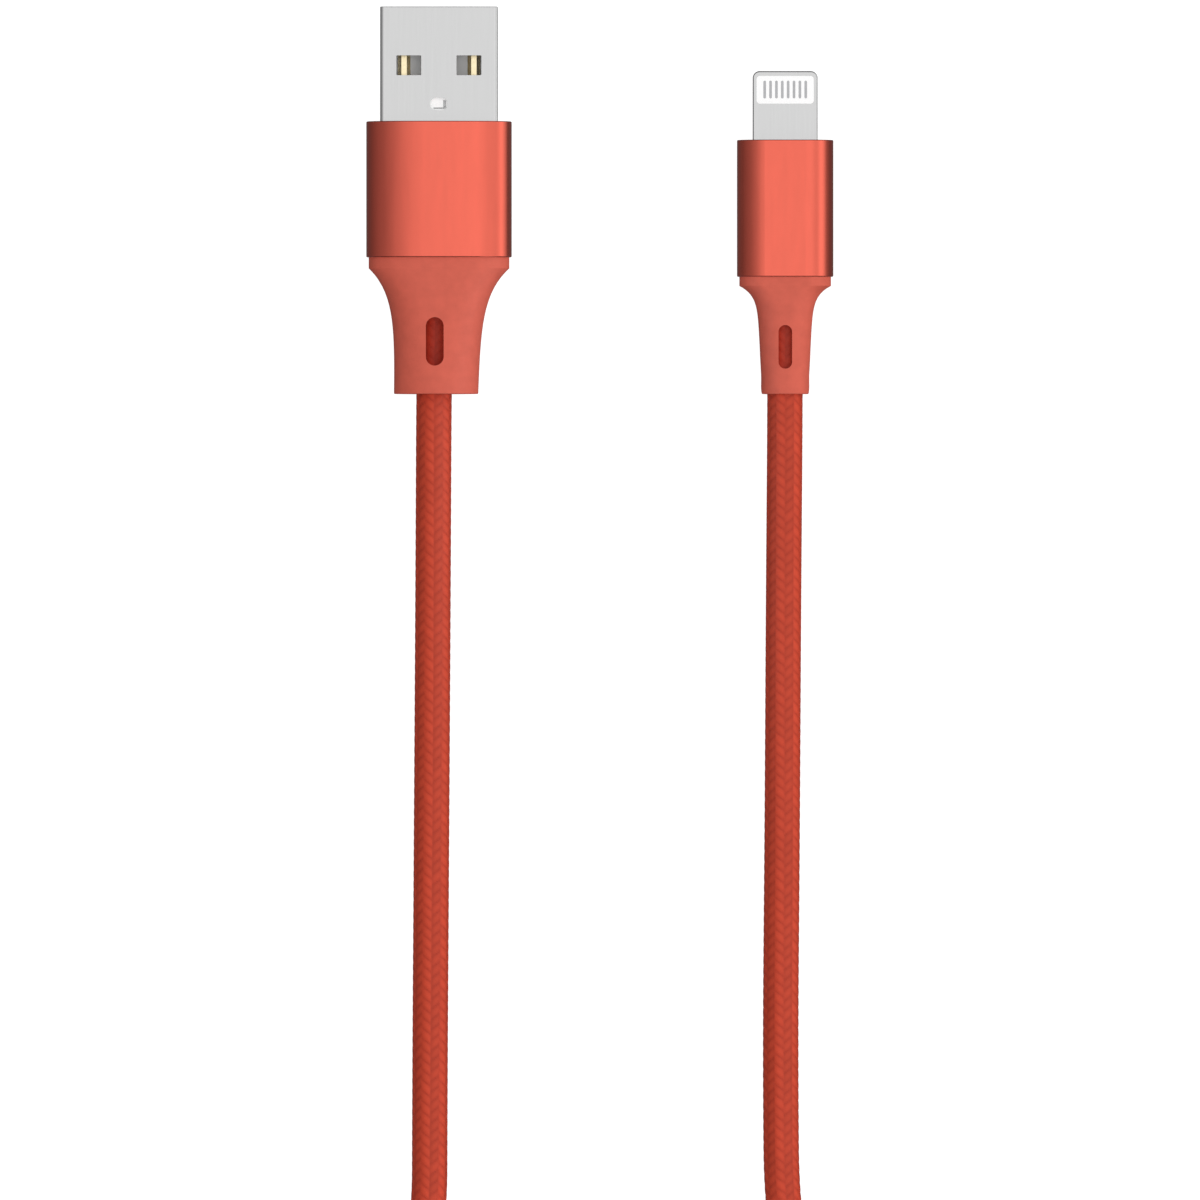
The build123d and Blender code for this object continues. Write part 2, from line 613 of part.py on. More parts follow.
def coil_and_tie():
    """The coil's outer shape, and the strap round it on the side away from the plugs."""
    tie_arc = TIE_W / COIL_MID_R * 180 / pi
    first_angle = TIE_DIRECTION - tie_arc / 2
    lifted = bundle_section(TIE_T)
    strapped = round_the_coil(lifted, first_angle, tie_arc)
    wrapped = round_the_coil(offset(lifted, TIE_T), first_angle, tie_arc)
    tie = wrapped - strapped
    coil = round_the_coil(bundle_section(0), 0, 360) - wrapped + strapped
    return coil, tie


# ---- build --------------------------------------------------------------------------------------

usb_contacts = {name: usb_contact(name) for name in USB_CONTACTS}
tab_contact_pads = tab_contacts()
tab_plug_wires = tab_wires()
coil, tie = coil_and_tie()
usb_run, usb_run_length = tube(USB_ROUTE, CABLE_R, corner_radii(USB_ROUTE))
tab_run, tab_run_length = tube(TAB_ROUTE, CABLE_R, corner_radii(TAB_ROUTE))

nodes = {
    "usb_shell": usb_shell(),
    "usb_insulator": usb_insulator(usb_contacts.values()),
    "usb_shield_cover_upper": usb_shield_cover(1),
    "usb_shield_cover_lower": usb_shield_cover(-1),
    "usb_inner_mould": usb_inner_mould(),
    "usb_collar": usb_collar(),
    "usb_strain_relief": usb_strain_relief(usb_run),
    "usb_crimp_ring": crimp_ring(USB_X, USB_RING_Y, USB_Z, USB_RING_WALL),
    "tab_frame": tab_frame(),
    "tab_insulator": tab_insulator(tab_contact_pads.values()),
    "tab_circuit_board": tab_circuit_board(),
    "tab_controller_chip": tab_controller_chip(),
    "tab_board_capacitors": tab_board_capacitors(),
    "tab_shield_can": tab_shield_can(),
    "tab_inner_mould": tab_inner_mould(tab_plug_wires.values()),
    "tab_collar": tab_collar(),
    "tab_strain_relief": tab_strain_relief(tab_run),
    "tab_crimp_ring": crimp_ring(TAB_X, TAB_RING_Y, TAB_Z, TAB_RING_WALL),
    "cable_usb_run": usb_run,
    "cable_coil": coil,
    "cable_tab_run": tab_run,
    "cable_tie": tie,
}
nodes |= {f"usb_contact_{name}": shape for name, shape in usb_contacts.items()}
nodes |= {f"usb_wire_{name}": shape for name, shape in usb_wires().items()}
nodes |= {f"tab_contact_{name}": shape for name, shape in tab_contact_pads.items()}
nodes |= {f"tab_wire_{name}": shape for name, shape in tab_plug_wires.items()}

for name, shape in nodes.items():
    save(name, shape)

for name, route, solid, length in (("usb", USB_ROUTE, usb_run, usb_run_length),
                                   ("tab", TAB_ROUTE, tab_run, tab_run_length)):
    radii = ", ".join(f"{radius:.0f}" for radius in corner_radii(route))
    filled = solid.volume / (pi * CABLE_R**2 * length)
    print(f"{name} run: {length:.1f} mm, arcs {radii} mm, volume over section x length {filled:.4f}")
coil_length = 2 * pi * COIL_MID_R * COIL_TURNS
print(f"whole cable {usb_run_length + coil_length + tab_run_length:.0f} mm, {len(nodes)} nodes")
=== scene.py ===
import json
import math

import bpy
import numpy as np
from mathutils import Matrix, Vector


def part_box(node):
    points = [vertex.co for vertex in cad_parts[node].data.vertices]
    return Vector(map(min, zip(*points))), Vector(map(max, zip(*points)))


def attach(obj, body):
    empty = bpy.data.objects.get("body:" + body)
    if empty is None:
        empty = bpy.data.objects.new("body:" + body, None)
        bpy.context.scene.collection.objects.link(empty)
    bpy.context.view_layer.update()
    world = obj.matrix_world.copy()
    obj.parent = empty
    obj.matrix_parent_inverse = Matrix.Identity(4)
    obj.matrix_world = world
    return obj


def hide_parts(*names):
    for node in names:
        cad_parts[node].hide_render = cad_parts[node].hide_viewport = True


# Looks for the charging cable, in metres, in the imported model's frame: both plugs point to +Y and
# lie side by side along X, and the camera looks straight down on them.

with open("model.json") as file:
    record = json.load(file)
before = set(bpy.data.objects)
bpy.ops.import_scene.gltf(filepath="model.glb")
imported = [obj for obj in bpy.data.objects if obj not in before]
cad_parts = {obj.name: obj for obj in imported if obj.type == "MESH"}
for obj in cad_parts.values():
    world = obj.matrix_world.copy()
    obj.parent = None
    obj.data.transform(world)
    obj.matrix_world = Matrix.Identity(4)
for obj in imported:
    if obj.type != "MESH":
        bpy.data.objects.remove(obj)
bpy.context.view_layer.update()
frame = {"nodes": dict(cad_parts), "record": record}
nodes = frame["nodes"]

MM = 0.001
CABLE_D = 3.7 * MM
CABLE_R = CABLE_D / 2


# ---- camera -------------------------------------------------------------------------------------

VIEW_WIDTH = 123.7 * MM           # at the height of the plugs' middles
VIEW_CENTRE_BEHIND_TIP = 61.14 * MM
CAMERA_HEIGHT = 2.5
PLUG_HEIGHT = 4.5 * MM
SENSOR_WIDTH = 36
NEAREST, FARTHEST = 0.01, 10


def make_camera():
    """Straight above the plugs and the first stretch of cable."""
    cam = bpy.data.cameras.new("camera")
    cam.type = "PERSP"
    cam.sensor_width = SENSOR_WIDTH
    cam.lens = SENSOR_WIDTH * (CAMERA_HEIGHT - PLUG_HEIGHT) / VIEW_WIDTH
    cam.clip_start = NEAREST
    cam.clip_end = FARTHEST
    obj = bpy.data.objects.new("camera", cam)
    obj.location = (0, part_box("usb_shell")[1].y - VIEW_CENTRE_BEHIND_TIP, CAMERA_HEIGHT)
    bpy.context.collection.objects.link(obj)
    bpy.context.scene.camera = obj


make_camera()


# ---- cord: route --------------------------------------------------------------------------------

FLOOR_Z = CABLE_R                 # height of the cable's centre where it lies on the surface
USB_X = -16.6 * MM
USB_Z = 3.75 * MM
TAB_X = 19.1 * MM
TAB_Z = 2.85 * MM
RELIEF_END_Y = -20.0 * MM

COIL_X = 1.05 * MM
COIL_Y = -147.0 * MM
COIL_MID_R = 20.6 * MM
COIL_OUTER_R = COIL_MID_R + 1.5 * CABLE_D
COIL_LAST_R = COIL_MID_R + CABLE_D
COIL_TURNS = 5.5
STEPS_IN = (1, 2, 3)              # turns at whose end the cable steps inwards, on the surface
STEPS_OUT = (4, 5)                # and outwards, on top
STEP_SPAN = 0.22                  # of a turn
CLIMB = (3.45, 3.75)              # turns between which it climbs to the upper layer
LAYER_RISE = 3.3 * MM
ROLL_OVER = 3                     # it rises first and then moves over, to clear the turn beside it
CROSSING_RISE = 0.5 * MM          # above that layer, where it crosses from groove to groove
CROSSING_SPAN = 0.3
CROSSING_EASE = 0.1
TIE_TURN = 0.25                   # where the tie is, in turns from the coil's left side
TIE_LIFT = 0.8 * MM               # by its strap under the coil
TIE_EASE = (0.06, 0.14)           # turns from the tie between which the cable comes down again
POINTS_PER_TURN = 20
OUTSET = 1 / math.cos(math.pi / POINTS_PER_TURN) ** 0.75  # the curve cuts its points' corners

USB_ROUTE = [
    (USB_X, -1.8 * MM, USB_Z),
    (USB_X, -6.6 * MM, USB_Z),
    (-17.1 * MM, -14.4 * MM, USB_Z),
    (-17.2 * MM, -38.0 * MM, USB_Z),
    (-17.4 * MM, -68.0 * MM, FLOOR_Z),
    (-17.55 * MM, -90.0 * MM, FLOOR_Z),
    (-17.6 * MM, -110.0 * MM, FLOOR_Z),
    (COIL_X - COIL_OUTER_R, -133.5 * MM, FLOOR_Z),
]
TAB_ROUTE = [
    (TAB_X, -4.4 * MM, TAB_Z),
    (TAB_X, -21.0 * MM, TAB_Z),
    (18.95 * MM, -38.0 * MM, TAB_Z),
    (18.8 * MM, -66.0 * MM, FLOOR_Z),
    (18.6 * MM, -88.0 * MM, FLOOR_Z),
    (18.8 * MM, -108.0 * MM, FLOOR_Z),
    (24.2 * MM, -127.5 * MM, 5.6 * MM),
    (COIL_X + COIL_LAST_R, -139.5 * MM, 5.65 * MM),
]


def ease(value, low, high):
    """0 below low, 1 above high, and smooth between."""
    share = min(1.0, max(0.0, (value - low) / (high - low)))
    return share * share * (3 - 2 * share)


def coil_radius_and_height(turn):
    """Where the cable lies after so many turns: inwards on the surface, then outwards on top.

    Each turn keeps its radius until its last fifth, where it steps over by a diameter.
    """
    climb = ease(turn, *CLIMB)
    low_r = COIL_OUTER_R - CABLE_D * sum(ease(turn, end - STEP_SPAN, end) for end in STEPS_IN)
    high_r = COIL_MID_R + CABLE_D * (sum(ease(turn, end - STEP_SPAN, end) for end in STEPS_OUT) - 1)
    height = FLOOR_Z + LAYER_RISE * climb
    for end in STEPS_OUT:
        start = end - CROSSING_SPAN
        height += (CROSSING_RISE * ease(turn, start, start + CROSSING_EASE)
                   * (1 - ease(turn, end, end + CROSSING_EASE)))
    return low_r + (high_r - low_r) * climb ** ROLL_OVER, height


def coil_points():
    """Control points of the turns, from the left side, round the far side, to the right side."""
    points = []
    for index in range(round(COIL_TURNS * POINTS_PER_TURN) + 1):
        turn = index / POINTS_PER_TURN
        angle = math.pi + 2 * math.pi * turn
        radius, height = coil_radius_and_height(turn)
        from_tie = abs((turn - TIE_TURN + 0.5) % 1 - 0.5)
        height += TIE_LIFT * (1 - ease(from_tie, *TIE_EASE))
        x = COIL_X + radius * OUTSET * math.cos(angle)
        y = COIL_Y + radius * OUTSET * math.sin(angle)
        points.append((x, y, height))
    return points


def route_spline():
    """The cable's centreline as a smooth NURBS curve through plug, coil and plug."""
    points = USB_ROUTE + coil_points() + TAB_ROUTE[::-1]
    curve = bpy.data.curves.new("route", "CURVE")
    curve.dimensions = "3D"
    spline = curve.splines.new("NURBS")
    spline.points.add(len(points) - 1)
    for point, place in zip(spline.points, points):
        point.co = (*place, 1)
    spline.order_u = 3
    spline.use_endpoint_u = True
    spline.resolution_u = 24
    return bpy.data.objects.new("route", curve)


def read_path(route):
    """The smooth curve's own points, one row each."""
    mesh = bpy.data.meshes.new_from_object(route)
    path = np.empty(len(mesh.vertices) * 3)
    mesh.vertices.foreach_get("co", path)
    bpy.data.meshes.remove(mesh)
    return path.reshape(-1, 3)


# ---- cord: braid --------------------------------------------------------------------------------

BRAID_COLUMNS = 12
BRAID_PITCH = 1.07 * MM
STRAND_SLOPE = 0.62               # rows that a strand drops across one column
YARN_RELIEF = 0.06 * MM
CREST_POWER = 0.6                 # how square a strand's section is along the cable
ARCH_POWER = 0.5                  # and across its column
ARCH_START, ARCH_SPAN = 0.12, 0.76  # the part of a half wave that it follows there
GROOVE_SHADE = 0.45               # how light the painted shade leaves the grooves between strands
HIDDEN_SHADE = 0.4                # and, as painted shade, the whole braid where it shows only through a relief slot
COLUMN_SHEEN_SHARE = 0.6                # how much of a strand's brightness is the painted sheen of its column, and not its random tone
TWIST = math.radians(4)           # by which the columns wander to and fro round the cable
TWIST_LENGTH = 31 * MM
SIDES_PER_COLUMN = 6
SIDES = BRAID_COLUMNS * SIDES_PER_COLUMN
ROWS_PER_PITCH_SEEN = 8
ROWS_PER_PITCH_COILED = 5
COILED_BELOW_Y = -112 * MM
TANGENT_REACH = 2.0 * MM          # each way


def mesh_object(name, verts, faces):
    mesh = bpy.data.meshes.new(name)
    mesh.vertices.add(len(verts))
    mesh.vertices.foreach_set("co", np.asarray(verts, dtype=np.float32).ravel())
    sizes = np.array([len(face) for face in faces])
    mesh.loops.add(int(sizes.sum()))
    mesh.loops.foreach_set("vertex_index", np.concatenate([np.asarray(face) for face in faces]))
    mesh.polygons.add(len(faces))
    mesh.polygons.foreach_set("loop_start", np.concatenate([[0], np.cumsum(sizes)[:-1]]))
    mesh.polygons.foreach_set("use_smooth", np.ones(len(faces), dtype=bool))
    mesh.update()
    mesh.validate()
    obj = bpy.data.objects.new(name, mesh)
    bpy.context.collection.objects.link(obj)
    return obj


def point_attribute(obj, name, values):
    layer = obj.data.attributes.new(name, "FLOAT", "POINT")
    layer.data.foreach_set("value", np.asarray(values, dtype=np.float32).ravel())


def yarn_shade(column, row):
    """A steady pseudo-random number from 0 to 1 for each strand's float on the surface."""
    mixed = np.sin(column * 12.9898 + row * 78.233) * 43758.5453
    return mixed - np.floor(mixed)


def ring_stations(path, lengths):
    """How far along the cable each ring of the tube is: they are farther apart in the coil."""
    coiled = np.flatnonzero(path[:, 1] < COILED_BELOW_Y)
    coil_start, coil_end = lengths[coiled[0]], lengths[coiled[-1]]
    fine = BRAID_PITCH / ROWS_PER_PITCH_SEEN
    coarse = BRAID_PITCH / ROWS_PER_PITCH_COILED
    return np.concatenate([
        np.arange(0, coil_start, fine),
        np.arange(coil_start, coil_end, coarse),
        np.arange(coil_end, lengths[-1], fine),
        [lengths[-1]],
    ])


def ring_frames(path, lengths, along):
    """Each ring's centre, and its unit vectors sideways and upwards."""
    def at(distance):
        return np.stack([np.interp(distance, lengths, path[:, axis]) for axis in range(3)], axis=1)

    tangent = (at(np.minimum(along + TANGENT_REACH, lengths[-1]))
               - at(np.maximum(along - TANGENT_REACH, 0)))
    tangent /= np.linalg.norm(tangent, axis=1)[:, None]
    side = np.cross(tangent, [0, 0, 1])
    side /= np.linalg.norm(side, axis=1)[:, None]
    return at(along), side, np.cross(side, tangent)


def tube_faces(rings):
    """Quads between neighbouring rings, and a cap at each end."""
    step = np.arange(SIDES)
    start = np.arange(rings - 1)[:, None] * SIDES
    first = (start + step).ravel()
    turned = (start + (step + 1) % SIDES).ravel()
    quads = np.stack([first, turned, turned + SIDES, first + SIDES], axis=1)
    return [*quads, step[::-1], step + (rings - 1) * SIDES]


def braid(path):
    """The braided jacket as one tube, with every strand of its herringbone standing proud."""
    lengths = np.concatenate([[0], np.cumsum(np.linalg.norm(np.diff(path, axis=0), axis=1))])
    along = ring_stations(path, lengths)
    centre, side, up = ring_frames(path, lengths, along)

    step = np.arange(SIDES)
    column = step // SIDES_PER_COLUMN
    across = (step % SIDES_PER_COLUMN) / SIDES_PER_COLUMN
    odd = column % 2
    row = along[:, None] / BRAID_PITCH + (1 - 2 * odd) * STRAND_SLOPE * (across - 0.5) + 0.5 * odd
    crest = np.abs(np.sin(np.pi * row)) ** CREST_POWER
    arch = np.sin(np.pi * (ARCH_START + ARCH_SPAN * across)) ** ARCH_POWER
    weave_relief_and_shade = crest * arch

    # one column of slow twist from plug to plug, so that both show the same chevron
    one_column = 2 * np.pi / BRAID_COLUMNS
    twist = TWIST * np.sin(along / TWIST_LENGTH) + one_column * along / lengths[-1]
    angle = np.pi / 2 + 2 * np.pi * step / SIDES + twist[:, None]
    radius = CABLE_R - YARN_RELIEF * (1 - weave_relief_and_shade)
    ring = centre[:, None, :] + radius[..., None] * (np.cos(angle)[..., None] * side[:, None, :]
                                                     + np.sin(angle)[..., None] * up[:, None, :])

    obj = mesh_object("cable_braid", ring.reshape(-1, 3), tube_faces(len(along)))
    # painted shade on the braid inside the strain reliefs, where it shows only through the slots
    slot_shade = np.where(centre[:, 1] > RELIEF_END_Y, HIDDEN_SHADE, 1.0)
    # painted shade: this attribute darkens the braid's colour down in the grooves, and inside the
    # reliefs
    point_attribute(obj, "weave_relief_and_shade", (GROOVE_SHADE + (1 - GROOVE_SHADE) * weave_relief_and_shade) * slot_shade[:, None])
    # each float's own random tone, plus a painted sheen that makes every odd column lighter
    chance = yarn_shade(column, np.floor(row))
    point_attribute(obj, "strand", (1 - COLUMN_SHEEN_SHARE) * chance + COLUMN_SHEEN_SHARE * odd)
    return obj


route = route_spline()
cable_path = read_path(route)
bpy.data.objects.remove(route)
cable = braid(cable_path)
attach(cable, "root")
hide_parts("cable_usb_run", "cable_coil", "cable_tab_run")


# ---- node helpers -------------------------------------------------------------------------------

def new_material(name, color, roughness, metallic=0.0):
    """A principled material, and its nodes and shader for adding detail."""
    material = bpy.data.materials.new(name)
    material.use_nodes = True
    shader = material.node_tree.nodes["Principled BSDF"]
    shader.inputs["Base Color"].default_value = (*color, 1)
    shader.inputs["Roughness"].default_value = roughness
    shader.inputs["Metallic"].default_value = metallic
    return material, material.node_tree, shader


def noise(tree, scale, detail=3, stretch=(1, 1, 1)):
    """Noise over the object's own coordinates, in cycles per metre."""
    place = tree.nodes.new("ShaderNodeTexCoord")
    mapping = tree.nodes.new("ShaderNodeMapping")
    mapping.inputs["Scale"].default_value = stretch
    tree.links.new(place.outputs["Object"], mapping.inputs["Vector"])
    texture = tree.nodes.new("ShaderNodeTexNoise")
    texture.inputs["Scale"].default_value = scale
    texture.inputs["Detail"].default_value = detail
    tree.links.new(mapping.outputs["Vector"], texture.inputs["Vector"])
    return texture.outputs["Fac"]


def separate(tree, coordinates):
    """X, Y and Z of the object's own coordinates, or of the direction in the studio."""
    place = tree.nodes.new("ShaderNodeTexCoord")
    split = tree.nodes.new("ShaderNodeSeparateXYZ")
    tree.links.new(place.outputs[coordinates], split.inputs[0])
    return split.outputs


def remap(tree, value, low, high, from_low=0.3, from_high=0.7):
    """The value stretched and clamped. Noise fills about 0.3 to 0.7."""
    node = tree.nodes.new("ShaderNodeMapRange")
    node.inputs["From Min"].default_value = from_low
    node.inputs["From Max"].default_value = from_high
    node.inputs["To Min"].default_value = low
    node.inputs["To Max"].default_value = high
    tree.links.new(value, node.inputs["Value"])
    return node.outputs["Result"]


def math_node(tree, operation, *values):
    node = tree.nodes.new("ShaderNodeMath")
    node.operation = operation
    for socket, value in zip(node.inputs, values):
        tree.links.new(value, socket)
    return node.outputs[0]


def mix_color(tree, factor, first, second, blend="MIX"):
    node = tree.nodes.new("ShaderNodeMix")
    node.data_type = "RGBA"
    node.blend_type = blend
    sockets = (node.inputs[0], node.inputs[6], node.inputs[7])
    for socket, value in zip(sockets, (factor, first, second)):
        if isinstance(value, tuple):
            socket.default_value = (*value, 1)
        elif isinstance(value, (int, float)):
            socket.default_value = value
        else:
            tree.links.new(value, socket)
    return node.outputs[2]


def multiply(tree, first, second):
    return mix_color(tree, 1.0, first, second, "MULTIPLY")


def grey_ramp(tree, value, stops):
    """Greys by value, from a list of (value, level) in rising order."""
    ramp = tree.nodes.new("ShaderNodeValToRGB")
    elements = ramp.color_ramp.elements
    for index, (position, level) in enumerate(stops):
        if index == 0 or index == len(stops) - 1:
            stop = elements[0 if index == 0 else -1]
            stop.position = position
        else:
            stop = elements.new(position)
        stop.color = (level, level, level, 1)
    tree.links.new(value, ramp.inputs["Fac"])
    return ramp.outputs["Color"]


def bump(tree, shader, height, distance, strength):
    node = tree.nodes.new("ShaderNodeBump")
    node.inputs["Distance"].default_value = distance
    node.inputs["Strength"].default_value = strength
    tree.links.new(height, node.inputs["Height"])
    tree.links.new(node.outputs["Normal"], shader.inputs["Normal"])


# ---- materials ----------------------------------------------------------------------------------

LOW_SHINE = 0.2
# The dark braid colour is painted shade down in the grooves between strands; the light one is the
# strands' own colour on their crests.
BRAID_GROOVE_SHADE_COLOR = (0.31, 0.021, 0.0095)
BRAID_LIGHT = (0.63, 0.065, 0.028)
ANODISED_RED = (0.74, 0.136, 0.092)
ELASTOMER_RED = (0.70, 0.128, 0.083)
WHITE = (0.9, 0.9, 0.9)
# The white moulding gets painted shade deep in the USB shell, where it is greyer, and a faint
# painted glow elsewhere.
WHITE_SHADED_IN_SHELL = (0.84, 0.84, 0.84)
WHITE_PAINTED_GLOW = 0.2
WHITE_BLOCK_Z = 5.65 * MM         # just below the top of the white block in the USB shell
TIE_DARK = (0.008, 0.008, 0.009)
TIE_LIGHT = (0.05, 0.05, 0.055)

PLAIN_LOOKS = {                   # colour, roughness, metallic
    "tinned_sheet": ((0.5, 0.5, 0.49), 0.4, 1.0),
    "contact_gold": ((0.92, 0.79, 0.52), 0.25, 1.0),
    "contact_grey": ((0.42, 0.42, 0.43), 0.35, 1.0),
    "mould_plastic": ((0.72, 0.70, 0.64), 0.5, 0.0),
    "crimp_brass": ((0.6, 0.42, 0.16), 0.35, 1.0),
    "wire_red": ((0.5, 0.02, 0.015), 0.4, 0.0),
    "wire_white": ((0.75, 0.75, 0.73), 0.4, 0.0),
    "wire_green": ((0.02, 0.25, 0.05), 0.4, 0.0),
    "wire_black": ((0.01, 0.01, 0.01), 0.4, 0.0),
    "board_green": ((0.01, 0.12, 0.04), 0.3, 0.0),
    "chip_black": ((0.012, 0.012, 0.014), 0.5, 0.0),
    "capacitor_ceramic": ((0.35, 0.22, 0.12), 0.5, 0.0),
}


def braid_material():
    """Nylon strands: painted shade in grooves and slots, painted sheen on odd columns, each strand
    a little different.
    """
    material, tree, shader = new_material("red_braid", BRAID_LIGHT, 0.5)
    weave_relief_and_shade = tree.nodes.new("ShaderNodeAttribute")
    weave_relief_and_shade.attribute_name = "weave_relief_and_shade"
    strand = tree.nodes.new("ShaderNodeAttribute")
    strand.attribute_name = "strand"
    # painted shade: the braid is darker in the grooves between strands and inside the relief slots
    base = mix_color(tree, weave_relief_and_shade.outputs["Fac"], BRAID_GROOVE_SHADE_COLOR, BRAID_LIGHT)
    # the strand's random tone, and the painted sheen of every other column
    shade = remap(tree, strand.outputs["Fac"], 0.84, 1.10, 0.0, 1.0)
    tree.links.new(multiply(tree, base, shade), shader.inputs["Base Color"])
    shader.inputs["Specular IOR Level"].default_value = LOW_SHINE
    bump(tree, shader, noise(tree, 9000, 2), 0.02 * MM, 0.6)
    return material


def anodised_material():
    """Aluminium, finely blasted and dyed red."""
    material, tree, shader = new_material("red_anodised", ANODISED_RED, 0.22, 1.0)
    cloud = remap(tree, noise(tree, 1400, 4, (1, 0.15, 1)), 0.975, 1.02)
    tree.links.new(multiply(tree, ANODISED_RED, cloud), shader.inputs["Base Color"])
    grain = noise(tree, 14000, 2, (1, 0.2, 1))
    tree.links.new(remap(tree, grain, 0.19, 0.25), shader.inputs["Roughness"])
    bump(tree, shader, grain, 0.003 * MM, 0.4)
    return material


def elastomer_material():
    """Soft moulded relief: matte, with the mould's fine spark texture."""
    material, tree, shader = new_material("red_elastomer", ELASTOMER_RED, 0.55)
    cloud = remap(tree, noise(tree, 900, 4), 0.95, 1.04)
    tree.links.new(multiply(tree, ELASTOMER_RED, cloud), shader.inputs["Base Color"])
    shader.inputs["Specular IOR Level"].default_value = LOW_SHINE
    bump(tree, shader, noise(tree, 9000), 0.012 * MM, 0.5)
    return material


def nickel_material():
    """Bright nickel plate with faint drawing lines along the plug."""
    material, tree, shader = new_material("nickel_plate", (0.56, 0.56, 0.56), 0.22, 1.0)
    lines = noise(tree, 6000, 2, (1, 0.02, 1))
    tree.links.new(remap(tree, lines, 0.20, 0.27), shader.inputs["Roughness"])
    bump(tree, shader, lines, 0.002 * MM, 0.4)
    return material


def white_material():
    """White moulding with a faint painted glow for the light it scatters within itself, and painted
    shade deep in the USB shell: greyer there, without the glow.
    """
    material, tree, shader = new_material("white_plastic", WHITE, 0.4)
    place = separate(tree, "Object")
    deep = remap(tree, place["Z"], 1.0, 0.0, WHITE_BLOCK_Z - 0.1 * MM, WHITE_BLOCK_Z)
    usb_side = remap(tree, place["X"], 1.0, 0.0, -1 * MM, 1 * MM)
    # painted shade deep in the USB shell: greyer, and without the painted glow
    shell_shade = multiply(tree, deep, usb_side)
    white = multiply(tree, WHITE, remap(tree, noise(tree, 2500), 0.97, 1.0))
    tree.links.new(mix_color(tree, shell_shade, white, WHITE_SHADED_IN_SHELL), shader.inputs["Base Color"])
    # painted glow, switched off where the painted shade is
    glow = mix_color(tree, shell_shade, (1.0, 1.0, 1.0), (0.0, 0.0, 0.0))
    tree.links.new(glow, shader.inputs["Emission Color"])
    shader.inputs["Emission Strength"].default_value = WHITE_PAINTED_GLOW
    return material


def tie_material():
    """Black hook-and-loop fabric."""
    material, tree, shader = new_material("tie_fabric", TIE_DARK, 0.9)
    loops = noise(tree, 5000)
    tree.links.new(mix_color(tree, loops, TIE_DARK, TIE_LIGHT), shader.inputs["Base Color"])
    bump(tree, shader, loops, 0.15 * MM, 0.8)
    return material


def plain_material(name, color, roughness, metallic):
    """One colour, faintly clouded."""
    material, tree, shader = new_material(name, color, roughness, metallic)
    cloud = remap(tree, noise(tree, 3000), 0.94, 1.03)
    tree.links.new(multiply(tree, color, cloud), shader.inputs["Base Color"])
    return material


MATERIALS = {
    "red_braid": braid_material(),
    "red_anodised": anodised_material(),
    "red_elastomer": elastomer_material(),
    "nickel_plate": nickel_material(),
    "tie_fabric": tie_material(),
    "white_plastic": white_material(),
    **{name: plain_material(name, *look) for name, look in PLAIN_LOOKS.items()},
}

cable.data.materials.append(MATERIALS["red_braid"])
for part in frame["record"]["subparts"]:
    mesh = nodes[part["node"]].data
    mesh.materials.clear()
    mesh.materials.append(MATERIALS[part["material_slot"]])


# ---- stage --------------------------------------------------------------------------------------

FLOOR_HALF = 6.0                  # so wide that it fills even a view from near the horizon
FLOOR_GAP = 0.02 * MM             # below the object, so that no faces coincide
FLOOR_GREY = (0.3, 0.3, 0.3)      # enough for faint shadows; its glow does the rest
FLOOR_GLOW = 0.95

# How bright the studio is, by direction across the plugs: degrees from straight up, plus to the
# right.
STUDIO = [
    (-180, 0.10), (-136, 0.12), (-110, 0.165), (-78, 0.28), (-56, 0.34), (-33, 0.50), (-11, 0.78),
    (0, 1.0), (22, 1.03), (40, 0.84), (50, 0.82), (66, 1.24), (80, 0.98), (96, 0.32), (120, 0.15),
    (180, 0.10),
]
STUDIO_PEAK = 1.24
STUDIO_STRENGTH = 1.25
END_LEVEL = 0.25                  # it dims to this share straight ahead of the plugs and behind
END_START = 0.6                   # from here on, as the Y of a direction

# A card stands between the plugs, seen only in their reflections: height in millimetres, and how
# bright it is on the side of the USB plug and on the side of the tab plug.
CARD_X = 2.0 * MM
CARD_GAP = 0.1 * MM               # between its two faces
CARD_BACK_Y, CARD_FRONT_Y = -0.06, 0.04
CARD_HEIGHT = 20.0
CARD_TO_USB = [(0.2, 0.36), (3.4, 0.72), (5.5, 1.05), (7.4, 1.2), (9.1, 0.97), (11.2, 0.84),
               (13.6, 0.80), (15.6, 0.83), (20, 0.9)]
CARD_TO_TAB = [(0.2, 0.14), (3.5, 0.19), (5, 0.21), (7.5, 0.25), (13, 0.31), (20, 0.43)]
CARD_PEAK = 1.2

# The pieces that show in reflections: neither plug is mirrored in the other, but the USB shell's
# own parts are mirrored inside it.
MIRRORED = ("usb_shell", "usb_insulator", "usb_contact", "tab_frame", "tab_insulator")


def sheet_object(name, corners, material):
    mesh = bpy.data.meshes.new(name)
    mesh.from_pydata(corners, [], [(0, 1, 2, 3)])
    mesh.materials.append(material)
    obj = bpy.data.objects.new(name, mesh)
    bpy.context.collection.objects.link(obj)
    return obj


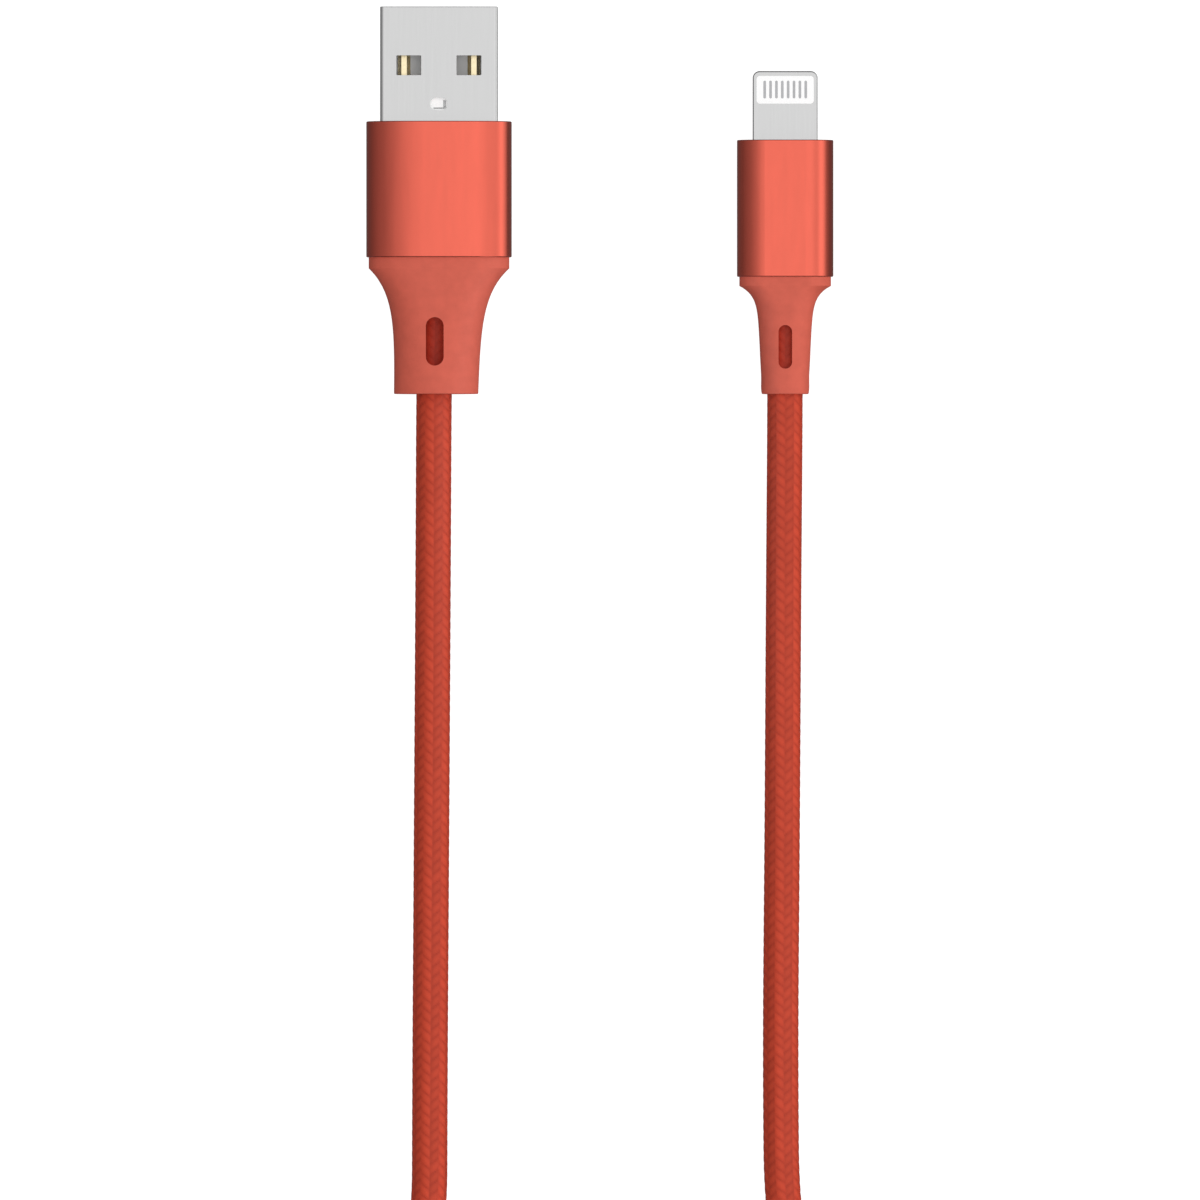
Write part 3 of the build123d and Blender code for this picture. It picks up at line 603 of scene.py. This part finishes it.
def make_floor():
    """A plain white surface, which shows no reflections of its own in the plugs."""
    material, _, shader = new_material("floor_white", FLOOR_GREY, 0.9)
    shader.inputs["Specular IOR Level"].default_value = 0.0
    shader.inputs["Emission Color"].default_value = (1, 1, 1, 1)
    shader.inputs["Emission Strength"].default_value = FLOOR_GLOW
    corners = [(x * FLOOR_HALF, y * FLOOR_HALF, -FLOOR_GAP)
               for x, y in ((-1, -1), (1, -1), (1, 1), (-1, 1))]
    floor = sheet_object("floor", corners, material)
    floor.visible_diffuse = False
    floor.visible_glossy = False


def make_card(name, x, levels):
    """One face of the card, which glows by its height."""
    material, tree, shader = new_material(name, (0, 0, 0), 1.0)
    shader.inputs["Specular IOR Level"].default_value = 0.0
    top = CARD_HEIGHT * MM
    share = remap(tree, separate(tree, "Object")["Z"], 0.0, 1.0, 0.0, top)
    stops = [(height / CARD_HEIGHT, level / CARD_PEAK) for height, level in levels]
    tree.links.new(grey_ramp(tree, share, stops), shader.inputs["Emission Color"])
    shader.inputs["Emission Strength"].default_value = STUDIO_STRENGTH * CARD_PEAK
    corners = [(x, y, z) for y, z in ((CARD_BACK_Y, 0), (CARD_FRONT_Y, 0),
                                      (CARD_FRONT_Y, top), (CARD_BACK_Y, top))]
    card = sheet_object(name, corners, material)
    card.visible_camera = False
    card.visible_diffuse = False
    card.visible_shadow = False


def make_studio():
    """A soft surround: bright above and to the right, darker elsewhere and at both ends."""
    world = bpy.data.worlds.new("studio")
    world.use_nodes = True
    tree = world.node_tree
    way = separate(tree, "Generated")
    turn = math_node(tree, "ARCTAN2", way["X"], way["Z"])
    share = remap(tree, turn, 0.0, 1.0, -math.pi, math.pi)
    stops = [(degrees / 360 + 0.5, level / STUDIO_PEAK) for degrees, level in STUDIO]
    ends = remap(tree, math_node(tree, "ABSOLUTE", way["Y"]), 1.0, END_LEVEL, END_START, 1.0)
    light = multiply(tree, grey_ramp(tree, share, stops), ends)
    background = tree.nodes["Background"]
    tree.links.new(light, background.inputs["Color"])
    background.inputs["Strength"].default_value = STUDIO_STRENGTH * STUDIO_PEAK
    bpy.context.scene.world = world
    bpy.context.scene.view_settings.view_transform = "Standard"


make_floor()
make_studio()
make_card("card_to_usb", CARD_X, CARD_TO_USB)
make_card("card_to_tab", CARD_X + CARD_GAP, CARD_TO_TAB)

cable.visible_glossy = False
for name, node in nodes.items():
    if not name.startswith(MIRRORED):
        node.visible_glossy = False
